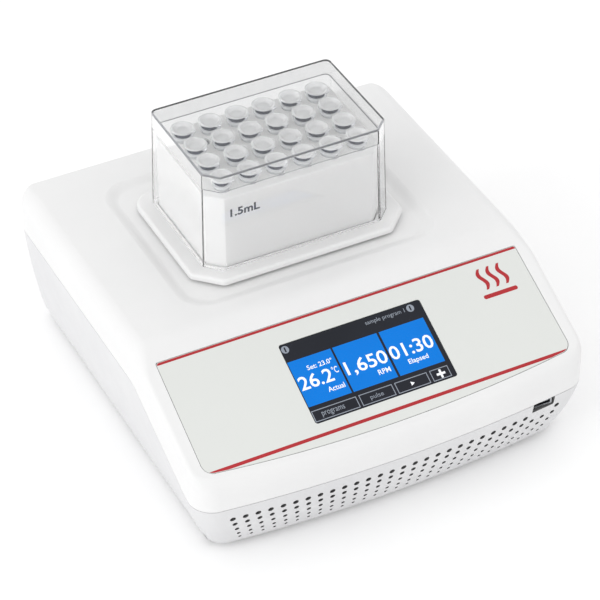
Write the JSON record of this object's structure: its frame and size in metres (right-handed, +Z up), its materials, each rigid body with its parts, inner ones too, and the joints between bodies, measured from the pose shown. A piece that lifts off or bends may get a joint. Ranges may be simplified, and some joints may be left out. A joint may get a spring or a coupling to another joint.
{
  "type": "dry block heater",
  "caption": "Benchtop dry block heater and shaker: a metal block with tube wells under a clear lift-off lid on an orbiting platform, with a sloping touch-screen front.",
  "frame": {"origin": "on the ground, under the middle of the machine's bounding box", "axes": "+X to the right seen from the front, +Y from the front panel to the back wall, +Z up"},
  "size_m": [0.2684, 0.282, 0.182],
  "materials": {
    "white_plastic": "fine satin moulded plastic",
    "pale_plastic": "fine satin moulded plastic, a little greyer",
    "overlay": "printed polyester membrane",
    "screen_glass": "polished, dark",
    "clear_plastic": "clear moulded plastic",
    "aluminium": "machined, clear anodised",
    "steel": "machined",
    "brass": "turned",
    "black_plastic": "moulded",
    "rubber": "moulded",
    "circuit_board": "solder mask",
    "insulation": "felted fibre",
    "fuse_glass": "clear"
  },
  "bodies": {
    "housing": {"top_shell": "white_plastic", "bottom_tray": "pale_plastic", "front_overlay": "overlay", "touch_glass": "screen_glass", "display_module": "steel", "usb_port": "steel", "main_board": "circuit_board", "power_supply": "steel", "chassis_plate": "aluminium", "chassis_post_1": "brass", "chassis_post_2": "brass", "chassis_post_3": "brass", "chassis_post_4": "brass", "motor_body": "steel", "idler_bearing_1": "steel", "idler_bearing_2": "steel", "idler_bearing_3": "steel", "idler_bearing_4": "steel", "power_inlet": "black_plastic", "switch_frame": "black_plastic", "fan_frame": "black_plastic", "foot_1": "rubber", "foot_2": "rubber", "foot_3": "rubber", "foot_4": "rubber", "case_screw_1": "steel", "case_screw_2": "steel", "case_screw_3": "steel", "case_screw_4": "steel"},
    "crank": {"motor_shaft": "steel", "eccentric_crank": "steel", "counterweight": "brass"},
    "platform": {"platform_bearing": "steel", "orbit_plate": "aluminium", "insulation_pad": "insulation", "heater_plate": "aluminium", "temperature_probe": "steel", "platform_collar": "white_plastic"},
    "block": {"sample_block": "aluminium", "block_screw_left": "steel", "block_screw_right": "steel"},
    "lid": {"clear_lid": "clear_plastic"},
    "fan": {"fan_rotor": "black_plastic"},
    "rocker": {"power_rocker": "black_plastic"},
    "drawer": {"fuse_drawer": "black_plastic", "fuse": "fuse_glass"},
    "idler_1": {"idler_crank_1": "steel"},
    "idler_2": {"idler_crank_2": "steel"},
    "idler_3": {"idler_crank_3": "steel"},
    "idler_4": {"idler_crank_4": "steel"}
  },
  "joints": [
    {"name": "crank_spin", "type": "hinge", "parent": "housing", "child": "crank", "pos_m": [-0.0015, 0.0394, 0.062], "axis": [0, 0, 1], "continuous": true},
    {"name": "platform_orbit", "type": "hinge", "parent": "crank", "child": "platform", "pos_m": [0, 0.0394, 0.0777], "axis": [0, 0, 1], "continuous": true},
    {"name": "idler_1_spin", "type": "hinge", "parent": "housing", "child": "idler_1", "pos_m": [-0.0555, 0.0034, 0.062], "axis": [0, 0, 1], "continuous": true},
    {"name": "idler_2_spin", "type": "hinge", "parent": "housing", "child": "idler_2", "pos_m": [0.0525, 0.0034, 0.062], "axis": [0, 0, 1], "continuous": true},
    {"name": "idler_3_spin", "type": "hinge", "parent": "housing", "child": "idler_3", "pos_m": [-0.0555, 0.0754, 0.062], "axis": [0, 0, 1], "continuous": true},
    {"name": "idler_4_spin", "type": "hinge", "parent": "housing", "child": "idler_4", "pos_m": [0.0525, 0.0754, 0.062], "axis": [0, 0, 1], "continuous": true},
    {"name": "block_lift", "type": "slide", "parent": "platform", "child": "block", "axis": [0, 0, 1], "range_m": [0, 0.09]},
    {"name": "lid_lift", "type": "slide", "parent": "block", "child": "lid", "axis": [0, 0, 1], "range_m": [0, 0.09]},
    {"name": "fan_spin", "type": "hinge", "parent": "housing", "child": "fan", "pos_m": [-0.066, 0.129, 0.041], "axis": [0, 1, 0], "continuous": true},
    {"name": "rocker_tilt", "type": "hinge", "parent": "housing", "child": "rocker", "pos_m": [0.03, 0.1372, 0.042], "axis": [0, 0, 1], "range_deg": [0, 20]},
    {"name": "fuse_drawer_slide", "type": "slide", "parent": "housing", "child": "drawer", "axis": [0, 1, 0], "range_m": [0, 0.02]}
  ],
  "couplings": [
    {"joint": "platform_orbit", "follows": "crank_spin", "ratio": -1},
    {"joint": "idler_1_spin", "follows": "crank_spin", "ratio": 1},
    {"joint": "idler_2_spin", "follows": "crank_spin", "ratio": 1},
    {"joint": "idler_3_spin", "follows": "crank_spin", "ratio": 1},
    {"joint": "idler_4_spin", "follows": "crank_spin", "ratio": 1}
  ]
}
